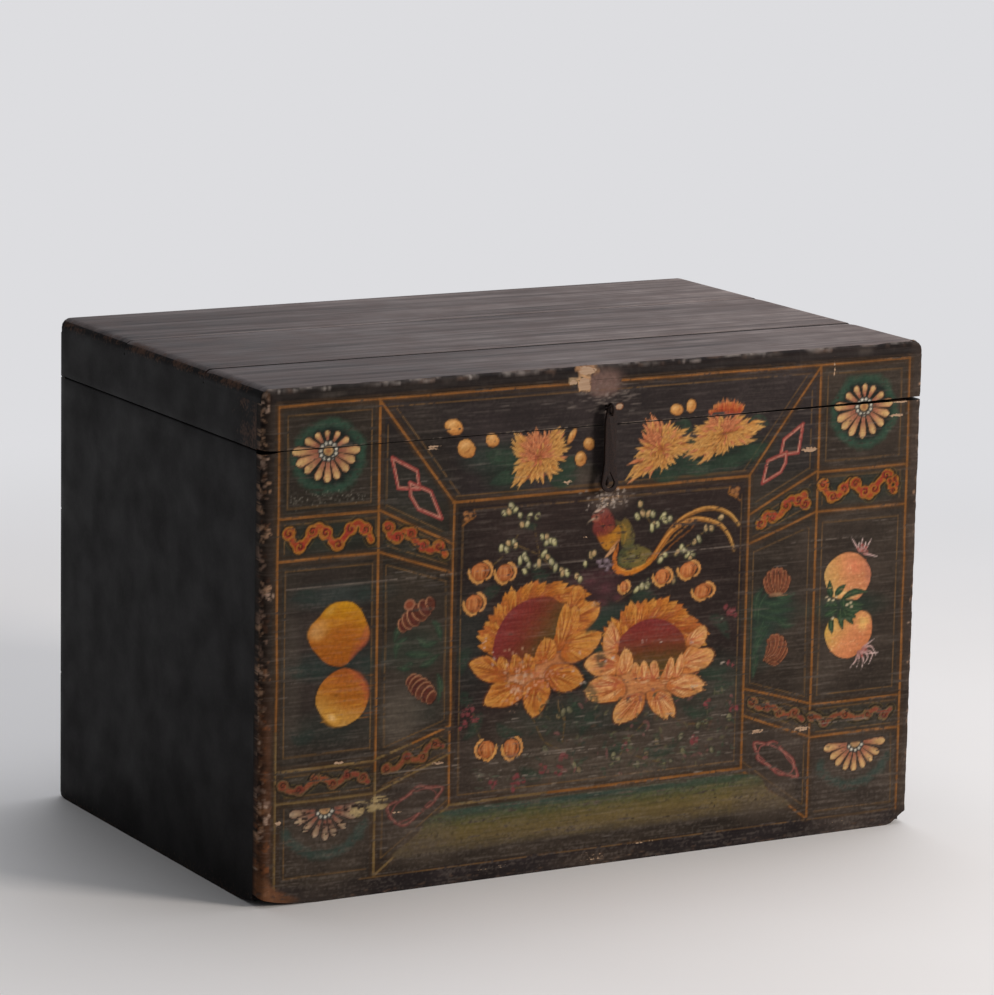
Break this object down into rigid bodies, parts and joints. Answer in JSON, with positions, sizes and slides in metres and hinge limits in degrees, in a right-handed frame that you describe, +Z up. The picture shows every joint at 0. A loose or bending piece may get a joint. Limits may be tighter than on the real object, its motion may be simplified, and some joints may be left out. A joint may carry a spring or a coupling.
{
  "type": "painted chest",
  "caption": "Free-standing wooden storage chest with dovetailed board walls, a painted front, a hinged box lid and an iron hasp that drops over a staple.",
  "frame": {"origin": "on the floor under the middle of the chest", "axes": "+Z up, +X to the right of someone facing the painted front, the front faces -Y"},
  "size_m": [0.84, 0.5574, 0.568],
  "materials": {
    "painted_board": "painted and lacquered, worn",
    "lacquered_board": "dark lacquer, satin",
    "worn_plank": "worn, dull",
    "bare_wood": "bare",
    "forged_iron": "forged, dull brown"
  },
  "bodies": {
    "chest": {"front_board_lower": "painted_board", "front_board_middle": "painted_board", "front_board_upper": "painted_board", "back_board_lower": "lacquered_board", "back_board_middle": "lacquered_board", "back_board_upper": "lacquered_board", "left_board_lower": "lacquered_board", "left_board_middle": "lacquered_board", "left_board_upper": "lacquered_board", "right_board_lower": "lacquered_board", "right_board_middle": "lacquered_board", "right_board_upper": "lacquered_board", "bottom_plank_1": "bare_wood", "bottom_plank_2": "bare_wood", "bottom_plank_3": "bare_wood", "left_hinge_body_leaf": "forged_iron", "left_hinge_pin": "forged_iron", "left_hinge_body_nail_1": "forged_iron", "left_hinge_body_nail_2": "forged_iron", "right_hinge_body_leaf": "forged_iron", "right_hinge_pin": "forged_iron", "right_hinge_body_nail_1": "forged_iron", "right_hinge_body_nail_2": "forged_iron", "lock_staple": "forged_iron"},
    "lid": {"lid_front_skirt": "painted_board", "lid_back_skirt": "lacquered_board", "lid_left_skirt": "lacquered_board", "lid_right_skirt": "lacquered_board", "lid_plank_front": "worn_plank", "lid_plank_middle": "worn_plank", "lid_plank_rear": "worn_plank", "left_hinge_lid_leaf": "forged_iron", "left_hinge_lid_nail_1": "forged_iron", "left_hinge_lid_nail_2": "forged_iron", "right_hinge_lid_leaf": "forged_iron", "right_hinge_lid_nail_1": "forged_iron", "right_hinge_lid_nail_2": "forged_iron", "hasp_eye": "forged_iron"},
    "hasp": {"hasp": "forged_iron"}
  },
  "joints": [
    {"name": "lid_hinge", "type": "hinge", "parent": "chest", "child": "lid", "pos_m": [0, 0.2701, 0.50015], "axis": [-1, 0, 0], "range_deg": [0, 105]},
    {"name": "hasp_swing", "type": "hinge", "parent": "lid", "child": "hasp", "pos_m": [0, -0.2755, 0.52], "axis": [-1, 0, 0], "range_deg": [-5, 160]}
  ]
}
